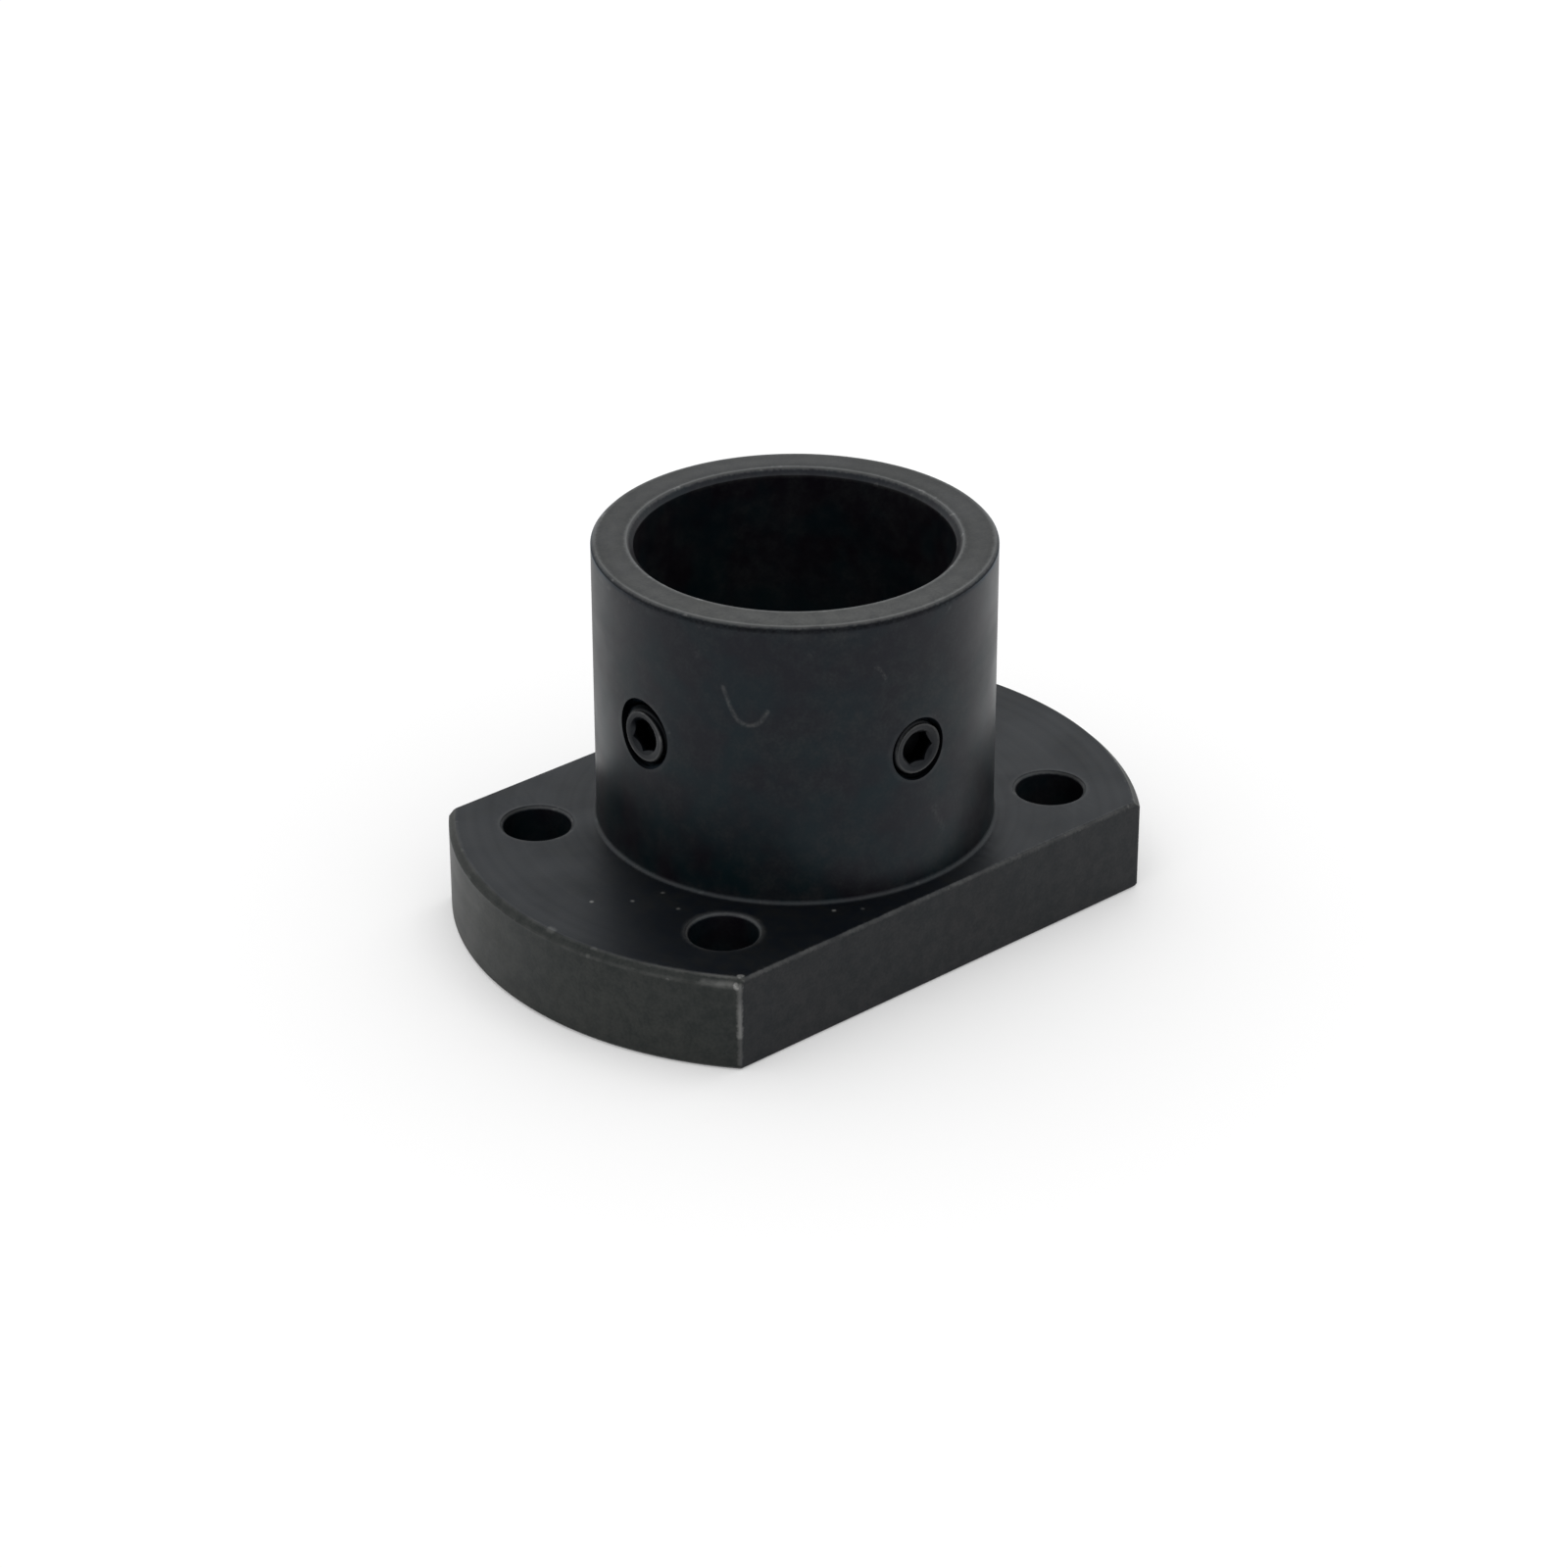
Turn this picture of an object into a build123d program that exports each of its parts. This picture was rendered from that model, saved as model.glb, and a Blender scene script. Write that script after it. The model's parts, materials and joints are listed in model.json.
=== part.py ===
"""Flanged shaft support, in millimetres.

A round sleeve on a flange with two flats, turned and milled from one steel bar, with two set
screws that clamp a shaft in the bore. The origin is the centre of the bore on the mounting face.
+Z runs up the bore, and +X runs along the flats.
"""

import math
import os

from build123d import *

# Sleeve and flange, turned in one
bore_d = 25.4  # the shaft slides in here
sleeve_wall = 3.35
sleeve_height = 24.0  # above the flange
flange_thickness = 8.0
flange_rim = 11.95  # from the sleeve out to the round ends of the flange

# Milled flats and drilled bolt holes
flat_ledge = 1.95  # from the sleeve out to each flat
bolt_hole_d = 5.5
bolt_beside_sleeve = 1.45  # along X, from the sleeve's side to a hole's centre
bolt_to_flat = 6.5  # along Y, from a hole's centre to the nearest flat

# Broken edges
bore_chamfer = 0.5
rim_chamfer = 0.25  # outer edge of the sleeve's top
round_end_chamfer = 0.55
round_foot_chamfer = 0.3  # under the round ends
flat_chamfer = 0.2
corner_radius = 0.2  # upright corners, where a flat meets a round end
bolt_mouth_chamfer = 0.25
root_radius = 0.4  # where the sleeve meets the flange

# Set screws: a 5 mm thread, shown as a plain cylinder in a plain hole
thread_d = 5.0
thread_clearance = 0.05  # radial, between screw and hole
face_sink = 0.1  # the socket end lies this far inside the sleeve's surface
tip_clearance = 0.4  # the flat point stays this far out of the bore
face_chamfer = 0.4
tip_chamfer = 0.5
socket_flats = 2.5  # hex key size
socket_depth = 1.6  # of the flats
socket_lead_in = 0.1  # radial, round the socket's corners
drill_angle = 120.0  # whole angle of the drill that cored the socket

# Each screw's place round the sleeve, in degrees from -Y, anticlockwise seen from above
left_screw_angle = -89.0
right_screw_angle = -4.7
left_countersink = 0.45  # radial; the mouths were opened by hand, the left one deeper
right_countersink = 0.15
left_countersink_rise = 0.25  # the left one also sits above its hole's axis
right_countersink_rise = 0.0
left_socket_turn = -8.0  # how far each screw has stopped round from a corner pointing up
right_socket_turn = -32.0

# Sizes that follow
bore_r = bore_d / 2
sleeve_r = bore_r + sleeve_wall
flange_r = sleeve_r + flange_rim
flange_width = 2 * (sleeve_r + flat_ledge)
support_height = flange_thickness + sleeve_height
bolt_spacing_x = 2 * (sleeve_r + bolt_beside_sleeve)
bolt_spacing_y = flange_width - 2 * bolt_to_flat
screw_height = flange_thickness + sleeve_height / 2  # halfway up the sleeve
screw_r = thread_d / 2 - thread_clearance
screw_length = sleeve_wall - face_sink - tip_clearance
drill_slope = math.tan(math.radians(drill_angle / 2))  # radius over depth of the drill's point


def screw_plane(angle):
    """Touches the sleeve at a screw hole: its Z points out of the hole and its Y points up."""
    outward = Vector(0, -1, 0).rotate(Axis.Z, angle)
    centre = outward * sleeve_r + Vector(0, 0, screw_height)
    return Plane(origin=centre, x_dir=Vector(0, 0, 1).cross(outward), z_dir=outward)


os.makedirs("parts", exist_ok=True)

# Support body: one turned section, then two flats, four bolt holes and two tapped holes
with BuildPart() as support_body:
    with BuildSketch(Plane.XZ) as section:
        with Locations((bore_r, 0)):
            Rectangle(flange_r - bore_r, flange_thickness, align=(Align.MIN, Align.MIN))
            Rectangle(sleeve_wall, support_height, align=(Align.MIN, Align.MIN))
        corners = section.vertices()
        fillet(corners.sort_by_distance((sleeve_r, 0, flange_thickness))[0], root_radius)
        chamfer(section.vertices().group_by(Axis.X)[0], bore_chamfer)
        foot, brow = section.vertices().group_by(Axis.X)[-1].sort_by(Axis.Z)
        chamfer(foot, round_foot_chamfer)
        chamfer(brow, round_end_chamfer)
        chamfer(section.vertices().sort_by_distance((sleeve_r, 0, support_height))[0], rim_chamfer)
    revolve(axis=Axis.Z)

    offcut = flange_r - flange_width / 2 + round_end_chamfer
    with BuildSketch(Plane.XY):
        with GridLocations(0, flange_width + offcut, 1, 2):
            Rectangle(2 * flange_r, offcut)
    extrude(amount=flange_thickness, mode=Mode.SUBTRACT)
    upright = support_body.edges().filter_by(Axis.Z).group_by(Axis.Y)
    fillet(upright[0] + upright[-1], corner_radius)
    chamfer(support_body.edges().filter_by(Axis.X), flat_chamfer)

    with GridLocations(bolt_spacing_x, bolt_spacing_y, 2, 2):
        Hole(bolt_hole_d / 2)
    bolt_mouths = support_body.edges().filter_by(
        lambda edge: edge.geom_type == GeomType.CIRCLE
        and math.isclose(edge.radius, bolt_hole_d / 2)
    )
    chamfer(bolt_mouths, bolt_mouth_chamfer)

    for angle, countersink, rise in (
        (left_screw_angle, left_countersink, left_countersink_rise),
        (right_screw_angle, right_countersink, right_countersink_rise),
    ):
        mouth_r = thread_d / 2 + countersink
        with Locations(screw_plane(angle)):
            Hole(thread_d / 2, depth=sleeve_r)
            with Locations((0, rise)):
                Cone(
                    bottom_radius=0,
                    top_radius=mouth_r,
                    height=mouth_r,
                    align=(Align.CENTER, Align.CENTER, Align.MAX),
                    mode=Mode.SUBTRACT,
                )
support_body.part.label = "support_body"
export_step(support_body.part, "parts/support_body.step")

# Set screws: a turned blank with a flat point, then the hex socket over its drilled core
for name, angle, socket_turn in (
    ("set_screw_left", left_screw_angle, left_socket_turn),
    ("set_screw_right", right_screw_angle, right_socket_turn),
):
    face = screw_plane(angle).offset(-face_sink)
    half_section = Plane(origin=face.origin, x_dir=face.x_dir, z_dir=-face.y_dir)
    with BuildPart(face) as set_screw:
        with BuildSketch(half_section):
            with BuildLine():
                Polyline(
                    (0, -screw_length),
                    (screw_r - tip_chamfer, -screw_length),
                    (screw_r, tip_chamfer - screw_length),
                    (screw_r, -face_chamfer),
                    (screw_r - face_chamfer, 0),
                    (0, 0),
                    close=True,
                )
            make_face()
        revolve(axis=Axis(face.origin, face.z_dir))
        with BuildSketch(face):
            socket = RegularPolygon(
                socket_flats / 2, 6, major_radius=False, rotation=90 + socket_turn
            )
        extrude(amount=-socket_depth, mode=Mode.SUBTRACT)
        lead_in_r = socket_flats / math.sqrt(3) + socket_lead_in
        Cone(
            bottom_radius=socket_flats / 2,
            top_radius=lead_in_r,
            height=lead_in_r - socket_flats / 2,
            align=(Align.CENTER, Align.CENTER, Align.MAX),
            mode=Mode.SUBTRACT,
        )
        with Locations((0, 0, -socket_depth)):
            Cone(
                bottom_radius=0,
                top_radius=socket_flats / 2,
                height=socket_flats / 2 / drill_slope,
                align=(Align.CENTER, Align.CENTER, Align.MAX),
                mode=Mode.SUBTRACT,
            )
    set_screw.part.label = name
    export_step(set_screw.part, f"parts/{name}.step")
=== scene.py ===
# %% [markdown]
# # A flanged shaft support in blackened steel
# The object holds the end of a round shaft. It has a sleeve on a flange with two flats, turned and
# milled from one bar, and two small set screws in the sleeve's wall. The engineering model gives
# every size and place, so this lesson starts by opening it as a frame. The frame's plain solids
# have sharp edges and no threads, and real edges are never quite sharp: the thin line of light
# along each one is what makes steel look like steel. So each piece is built again here with finer
# edges, in the very place of its plain solid.

import json
import math

import bmesh
import bpy
import numpy as np
from mathutils import Matrix, Vector

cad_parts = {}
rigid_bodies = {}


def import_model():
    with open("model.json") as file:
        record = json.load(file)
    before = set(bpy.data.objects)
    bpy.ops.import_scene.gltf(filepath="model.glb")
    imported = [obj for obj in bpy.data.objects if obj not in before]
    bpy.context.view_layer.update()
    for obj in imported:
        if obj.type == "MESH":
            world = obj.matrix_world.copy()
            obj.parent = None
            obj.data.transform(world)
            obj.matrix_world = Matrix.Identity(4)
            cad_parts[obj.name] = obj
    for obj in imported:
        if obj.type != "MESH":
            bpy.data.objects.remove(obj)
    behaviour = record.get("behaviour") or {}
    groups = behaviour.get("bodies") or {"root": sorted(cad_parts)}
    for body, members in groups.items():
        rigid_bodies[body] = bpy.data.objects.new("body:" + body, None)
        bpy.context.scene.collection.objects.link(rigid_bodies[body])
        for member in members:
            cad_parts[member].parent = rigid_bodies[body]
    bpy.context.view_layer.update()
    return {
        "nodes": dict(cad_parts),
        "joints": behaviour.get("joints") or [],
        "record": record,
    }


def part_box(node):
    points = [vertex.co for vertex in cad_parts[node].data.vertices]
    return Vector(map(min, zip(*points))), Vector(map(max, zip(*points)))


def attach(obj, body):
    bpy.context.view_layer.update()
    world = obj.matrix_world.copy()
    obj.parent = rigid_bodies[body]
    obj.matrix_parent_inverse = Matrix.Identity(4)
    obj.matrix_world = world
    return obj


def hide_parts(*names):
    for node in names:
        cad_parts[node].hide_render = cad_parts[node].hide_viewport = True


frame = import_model()
print("pieces in the frame:", ", ".join(sorted(frame["nodes"])))

# %% [markdown]
# ## Sizes
# Most sizes are read from the frame, in metres: the box of the plain body, the mounts that say
# where a shaft and bolts go, and the joints that say which way each screw turns out. Only what a
# box can't tell, such as the width of a broken edge, is given here.

# %% Read the sizes
MM = 0.001

_, body_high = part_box("support_body")
height = body_high.z
flange_r = body_high.x
flat_y = body_high.y

mounts = {mount["name"]: mount["dims"] for mount in frame["record"]["mounts"]}
bore_r = mounts["bore"]["r_mm"] * MM
bolt_r = mounts["bolt_holes"]["hole_r_mm"] * MM
bolt_x = mounts["bolt_holes"]["spacing_x_mm"] * MM / 2
bolt_y = mounts["bolt_holes"]["spacing_y_mm"] * MM / 2

sleeve_wall = 3.35 * MM
sleeve_r = bore_r + sleeve_wall
flange_top = 8 * MM
screw_z = (flange_top + height) / 2

bore_bevel = 0.5 * MM
rim_bevel = 0.25 * MM
round_bevel = 0.55 * MM  # on the flange's round ends, above
foot_bevel = 0.3 * MM  # and below
flat_bevel = 0.2 * MM
corner_r = 0.2 * MM  # upright corners of the flange
bolt_bevel = 0.25 * MM
root_r = 0.4 * MM  # where the sleeve meets the flange
edge_r = 0.06 * MM  # what handling leaves on every sharp edge

print(f"body {2000 * flange_r:.1f} x {2000 * flat_y:.1f} x {1000 * height:.1f} mm")

# %% [markdown]
# ## Camera
# The camera stands where the photographer's did: a little over a third of a metre away, to the left
# of the front and well above. That place came from fitting the corners and rims of the object to
# the photograph. Building the camera first means that every later step can be compared with it.

# %% Place the camera
PHOTO_SIZE = 1600  # pixels, each way
PHOTO_FOCAL = 4671.94  # pixels
SENSOR = 36.0  # millimetres
view_azimuth = math.radians(-41.26)
view_elevation = math.radians(28.47)
view_roll = math.radians(-0.1155)
view_distance = 369.8 * MM
target = Vector((0, 0, 9.6 * MM))
target_pixel = (811.19, 803.81)  # where the target lies in the photograph


def camera_axes(azimuth, elevation, roll):
    """The camera's right, up and backward directions."""
    level = math.cos(elevation)
    back = Vector((math.sin(azimuth) * level, -math.cos(azimuth) * level, math.sin(elevation)))
    right = Vector((math.cos(azimuth), math.sin(azimuth), 0))
    up = back.cross(right)
    cos_roll, sin_roll = math.cos(roll), math.sin(roll)
    return right * cos_roll + up * sin_roll, up * cos_roll - right * sin_roll, back


right, up, back = camera_axes(view_azimuth, view_elevation, view_roll)
aside, below = ((pixel - PHOTO_SIZE / 2) / PHOTO_FOCAL * view_distance for pixel in target_pixel)
camera_data = bpy.data.cameras.new("camera")
camera_data.sensor_width = SENSOR
camera_data.lens = PHOTO_FOCAL / PHOTO_SIZE * SENSOR
camera = bpy.data.objects.new("camera", camera_data)
placed = Matrix((right, up, back)).transposed().to_4x4()
placed.translation = target + back * view_distance - right * aside + up * below
camera.matrix_world = placed
bpy.context.scene.collection.objects.link(camera)
bpy.context.scene.camera = camera
bpy.context.scene.view_settings.view_transform = "Standard"
print("camera at", [round(1000 * x, 1) for x in camera.matrix_world.translation], "mm")

# %% [markdown]
# ## Studio
# A small dark object on a white table, under one broad soft light. The light fills the ceiling and
# fades towards the horizon, as it does round a light tent: edges that mirror the horizon then turn
# into dark lines, which a black object needs to show its form. To the camera the room is plain
# white. The table is a pale matt disc, which goes a little darker where the object keeps the light
# off it. To the camera, and in reflections, it glows a touch as well, so that it meets the white.

# %% Build the floor and the room
FLOOR_R = 3.0
FLOOR_SIDES = 96
FLOOR_SHADE = 0.8
FLOOR_SEEN = 1.02  # to the camera, and in reflections
CEILING_LIGHT = 1.0
HORIZON_LIGHT = 0.3
FADE_FROM = math.sin(math.radians(4))
FADE_TO = math.sin(math.radians(26))
LIGHT_FROM = (0.52, 0.67, 0.53)  # where the ceiling is brightest: above, and behind the object
LIGHT_EXTRA = 0.3
LIGHT_EDGE = 0.4  # cosine of the angle at which the extra light has faded away


def put(tree, kind, sockets=(), **settings):
    """A new shader node: its settings, then a value or another node's output in each socket."""
    made = tree.nodes.new("ShaderNode" + kind)
    for name, value in settings.items():
        setattr(made, name, value)
    for key, value in dict(sockets).items():
        if isinstance(value, bpy.types.NodeSocket):
            tree.links.new(value, made.inputs[key])
        else:
            made.inputs[key].default_value = value
    return made


def calc(tree, operation, *values):
    """The output of one Math node."""
    return put(tree, "Math", enumerate(values), operation=operation).outputs[0]


def new_material(name):
    """An empty node material and its output node."""
    material = bpy.data.materials.new(name)
    material.use_nodes = True
    material.node_tree.nodes.clear()
    return material, put(material.node_tree, "OutputMaterial")


def floor_material():
    material, output = new_material("pale_table")
    tree = material.node_tree
    matt = put(tree, "BsdfDiffuse", {"Color": (FLOOR_SHADE, FLOOR_SHADE, FLOOR_SHADE, 1)})
    path = put(tree, "LightPath").outputs
    seen = calc(tree, "MAXIMUM", path["Is Camera Ray"], path["Is Glossy Ray"])
    seen = calc(tree, "MAXIMUM", seen, path["Is Transmission Ray"])
    lift = calc(tree, "MULTIPLY", seen, FLOOR_SEEN - FLOOR_SHADE)
    glow = put(tree, "Emission", {"Strength": lift})
    both = put(tree, "AddShader", {0: matt.outputs[0], 1: glow.outputs[0]})
    tree.links.new(both.outputs[0], output.inputs["Surface"])
    return material


floor_mesh = bmesh.new()
bmesh.ops.create_circle(floor_mesh, cap_ends=True, segments=FLOOR_SIDES, radius=FLOOR_R)
floor_data = bpy.data.meshes.new("floor")
floor_mesh.to_mesh(floor_data)
floor_mesh.free()
floor_data.materials.append(floor_material())
floor = bpy.data.objects.new("floor", floor_data)
bpy.context.scene.collection.objects.link(floor)


def room_light(world):
    tree = world.node_tree
    tree.nodes.clear()
    direction = put(tree, "TexCoord").outputs["Generated"]
    rise = put(tree, "SeparateXYZ", {0: direction}).outputs[2]
    sockets = {0: rise, 1: FADE_FROM, 2: FADE_TO, 3: HORIZON_LIGHT, 4: CEILING_LIGHT}
    light = put(tree, "MapRange", sockets, interpolation_type="SMOOTHSTEP").outputs[0]
    facing = put(tree, "VectorMath", {0: direction, 1: LIGHT_FROM}, operation="DOT_PRODUCT")
    sockets = {0: facing.outputs["Value"], 1: LIGHT_EDGE, 2: 1.0, 3: 1.0, 4: 1.0 + LIGHT_EXTRA}
    extra = put(tree, "MapRange", sockets, interpolation_type="SMOOTHSTEP").outputs[0]
    light = calc(tree, "MULTIPLY", light, extra)
    seen = put(tree, "LightPath").outputs["Is Camera Ray"]
    strength = calc(tree, "MAXIMUM", light, seen)
    shining = put(tree, "Background", {"Color": (1, 1, 1, 1), "Strength": strength})
    put(tree, "OutputWorld", {"Surface": shining.outputs[0]})


world = bpy.data.worlds.new("white_room")
world.use_nodes = True
room_light(world)
bpy.context.scene.world = world
print("floor and room are in place")

# %% [markdown]
# ## Rings and skins
# Everything on this object came off a lathe, a mill or a drill, so one way of building serves it
# all. A profile is a short list of corners, `soften` turns each corner into a small arc, and the
# profile's points become rings of vertices, joined by a skin of quads. Booleans could round edges
# with a bevel afterwards, but rings give exact arcs and even, clean faces.

# %% Helpers for profiles and rings
STEP_ANGLE = math.radians(9)  # at most, between two faces of an arc


def unit(vector):
    return vector / np.linalg.norm(vector)


def soften(corners, radii):
    """The path through these corners, with an arc of the given radius at each inner corner."""
    corners = [np.array(corner, float) for corner in corners]
    path = [corners[0]]
    for before, corner, after, radius in zip(corners, corners[1:], corners[2:], radii):
        way_in, way_out = unit(corner - before), unit(after - corner)
        turn = math.acos(float(way_in @ way_out))
        centre = corner + unit(way_out - way_in) * radius / math.cos(turn / 2)
        first = corner - way_in * radius * math.tan(turn / 2) - centre
        steps = max(3, math.ceil(turn / STEP_ANGLE))
        for angle in np.linspace(0, turn, steps + 1):
            path.append(centre + first * math.cos(angle) + way_in * radius * math.sin(angle))
    return path + [corners[-1]]


def divide(path, longest):
    """The same path with no span longer than this, so that long walls get rows of faces."""
    fine = [path[0]]
    for start, end in zip(path, path[1:]):
        count = max(1, math.ceil(np.linalg.norm(end - start) / longest))
        fine += [start + (end - start) * k / count for k in range(1, count + 1)]
    return fine


def circle(radius, z, count, centre=(0, 0)):
    """Points round an upright axis."""
    angles = np.arange(count) * 2 * math.pi / count
    return [
        (centre[0] + radius * math.cos(a), centre[1] + radius * math.sin(a), z) for a in angles
    ]


def ring(bm, points):
    return [bm.verts.new(point) for point in points]


def skin(bm, rings):
    """Quads between each ring and the next."""
    for one, two in zip(rings, rings[1:]):
        for i in range(len(one)):
            bm.faces.new((one[i - 1], one[i], two[i], two[i - 1]))


def cap(bm, loops):
    """A flat face, in triangles, bounded by the first loop and open at the others."""
    edges = [bm.edges.get((loop[i - 1], loop[i])) for loop in loops for i in range(len(loop))]
    bmesh.ops.triangle_fill(bm, use_beauty=True, edges=edges, normal=(0, 0, 1))


print("a softened square corner has", len(soften([(1, 0), (0, 0), (0, 1)], [0.1])), "points")

# %% [markdown]
# ## Flange slices
# The flange is a disc with round ends and two milled flats. Its broken edge is wide where the
# lathe made it, on the round ends, and narrow where a file did, on the flats. Cut level, it gives
# the same kind of outline at every height: an arc, a small corner, a straight line, four times
# over. So each ring here is such a slice, and the two bevels run into each other as real ones do.

# %% Slices of the flange
ARC_STEPS = 42  # on each quarter of the outline
CORNER_STEPS = 6
FLAT_STEPS = 16
SIDE_ROW = 0.9 * MM


def flange_outline(round_r, flat, z):
    """Points round one slice, anticlockwise from +X."""
    centre = complex(math.sqrt((round_r - corner_r) ** 2 - (flat - corner_r) ** 2), flat - corner_r)
    touch = math.atan2(centre.imag, centre.real)
    arc = round_r * np.exp(1j * np.linspace(0, touch, ARC_STEPS, endpoint=False))
    bend = centre + corner_r * np.exp(
        1j * np.linspace(touch, math.pi / 2, CORNER_STEPS, endpoint=False)
    )
    line = np.linspace(centre.real, 0, FLAT_STEPS, endpoint=False) + 1j * flat
    quarter = np.concatenate([arc, bend, line])
    half = np.concatenate([quarter, [1j * flat], -quarter[:0:-1].conj()])
    return [(p.real, p.imag, z) for p in np.concatenate([half, -half])]


def side_profile(reach, below, above):
    """How far out the side is at each height, from the bottom face up, with its two bevels."""
    corners = [
        (reach - 2 * below, 0),
        (reach - below, 0),
        (reach, below),
        (reach, flange_top - above),
        (reach - above, flange_top),
        (reach - 2 * above, flange_top),
    ]
    path = np.array(soften(corners, [edge_r] * 4))[1:-1]
    return path[:, 0], path[:, 1]


round_reach, round_z = side_profile(flange_r, foot_bevel, round_bevel)
flat_reach, flat_z = side_profile(flat_y, flat_bevel, flat_bevel)
rows = np.linspace(round_bevel, flange_top - round_bevel, round(flange_top / SIDE_ROW))[1:-1]
levels = np.unique(np.round(np.concatenate([round_z, flat_z, rows]), 8))
print(len(levels), "slices of the flange")

# %% [markdown]
# ## Support body
# The sleeve is one turned profile, from the fillet at its root up the wall, over the rim and down
# the bore. The four bolt holes are short turned tubes of their own. The flat faces of the flange
# then join slices, sleeve and holes, with no cutting at all. Only the two tapped holes need a
# boolean, because they run into a curved wall.

# %% Build the body without its tapped holes
SLEEVE_STEPS = 360
BOLT_STEPS = 80
WALL_ROW = 1.2 * MM

sleeve_corners = [
    (sleeve_r + 2 * root_r, flange_top),
    (sleeve_r, flange_top),
    (sleeve_r, height - rim_bevel),
    (sleeve_r - rim_bevel, height),
    (bore_r + bore_bevel, height),
    (bore_r, height - bore_bevel),
    (bore_r, bore_bevel),
    (bore_r + bore_bevel, 0),
    (bore_r + 2 * bore_bevel, 0),
]
sleeve_path = divide(soften(sleeve_corners, [root_r] + [edge_r] * 6)[1:-1], WALL_ROW)

bolt_corners = [
    (bolt_r + 2 * bolt_bevel, flange_top),
    (bolt_r + bolt_bevel, flange_top),
    (bolt_r, flange_top - bolt_bevel),
    (bolt_r, bolt_bevel),
    (bolt_r + bolt_bevel, 0),
    (bolt_r + 2 * bolt_bevel, 0),
]
bolt_path = divide(soften(bolt_corners, [edge_r] * 4)[1:-1], WALL_ROW)

bm = bmesh.new()
sleeve_rings = [ring(bm, circle(r, z, SLEEVE_STEPS)) for r, z in sleeve_path]
side_reaches = zip(np.interp(levels, round_z, round_reach), np.interp(levels, flat_z, flat_reach))
side_rings = [ring(bm, flange_outline(*reach, z)) for reach, z in zip(side_reaches, levels)]
bolt_centres = [(x, y) for x in (-bolt_x, bolt_x) for y in (-bolt_y, bolt_y)]
bolt_rings = [
    [ring(bm, circle(r, z, BOLT_STEPS, centre)) for r, z in bolt_path] for centre in bolt_centres
]
for rings in [sleeve_rings, side_rings, *bolt_rings]:
    skin(bm, rings)
cap(bm, [side_rings[-1], sleeve_rings[0], *(rings[0] for rings in bolt_rings)])
cap(bm, [side_rings[0], sleeve_rings[-1], *(rings[-1] for rings in bolt_rings)])
bmesh.ops.recalc_face_normals(bm, faces=bm.faces)
open_edges = sum(not edge.is_manifold for edge in bm.edges)
body_mesh = bpy.data.meshes.new("support_body_dressed")
bm.to_mesh(body_mesh)
bm.free()
body = bpy.data.objects.new("dressed_support_body", body_mesh)
bpy.context.scene.collection.objects.link(body)
print("body:", len(body_mesh.polygons), "faces,", open_edges, "open edges")

# %% [markdown]
# ## Threads
# A screw thread is a groove of V section that climbs one pitch for each turn. Its rows of vertices
# climb with it, so the crest and the root stay clean edges, and where a row reaches an end of the
# thread it is held there. The same function makes the screw's thread and the one in its hole, with
# a little more radius, so the two fit wherever the screw has moved by whole pitches.

# %% A helical skin
PITCH = 0.8 * MM
THREAD_STEPS = 96
FLANK = math.tan(math.radians(30))
screw_r = 2.45 * MM
hole_r = 2.5 * MM
thread_depth = 0.43 * MM
crest_half = PITCH / 16
root_half = crest_half + thread_depth * FLANK
row_phases = [-root_half, -(crest_half + root_half) / 2, -crest_half, 0, crest_half]
row_phases += [(crest_half + root_half) / 2, root_half, PITCH / 2]


def thread_radius(along, turn, crest_r, root_r):
    """Radius of the thread at a height along its axis and an angle round it."""
    phase = (along - PITCH * turn / (2 * math.pi)) / PITCH
    from_crest = PITCH * abs((phase + 0.5) % 1 - 0.5)
    return min(crest_r, max(root_r, crest_r - (from_crest - crest_half) / FLANK))


def helix_skin(bm, place, radius, low, high, first_turn=0.0):
    """A threaded wall from low to high. place(radius, turn, along) gives a point of it."""
    start = (math.floor(low / PITCH) - 1) * PITCH
    turns = range(math.ceil((high - start) / PITCH) + 1)
    shift = PITCH * first_turn / (2 * math.pi)
    steps = [start + n * PITCH + phase + shift for n in turns for phase in row_phases]
    per_turn = len(row_phases)
    grid = []
    for step in steps:
        row = []
        for j in range(THREAD_STEPS):
            turn = 2 * math.pi * j / THREAD_STEPS
            along = min(high, max(low, step + PITCH * turn / (2 * math.pi)))
            turn += first_turn
            row.append(bm.verts.new(place(radius(along, turn), turn, along)))
        grid.append(row)

    def corner(i, j):
        i += per_turn * (j // THREAD_STEPS)
        return grid[min(i, len(grid) - 1)][j % THREAD_STEPS]

    for i in range(len(grid) - 1):
        for j in range(THREAD_STEPS):
            quad = [corner(i, j), corner(i, j + 1), corner(i + 1, j + 1), corner(i + 1, j)]
            if len(set(quad)) == 4:
                bm.faces.new(quad)


print(f"thread: {PITCH / MM:.1f} mm pitch, {len(row_phases)} rows in each turn")

# %% [markdown]
# ## Set screws
# Each screw is a headless stub: a hexagon socket in its outer face, a thread, and a flat point that
# presses on the shaft. All of it is rings again, only that some rings are hexagons. There are 96
# points in every ring, so each of the six corners of the socket falls on one of them.

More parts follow.
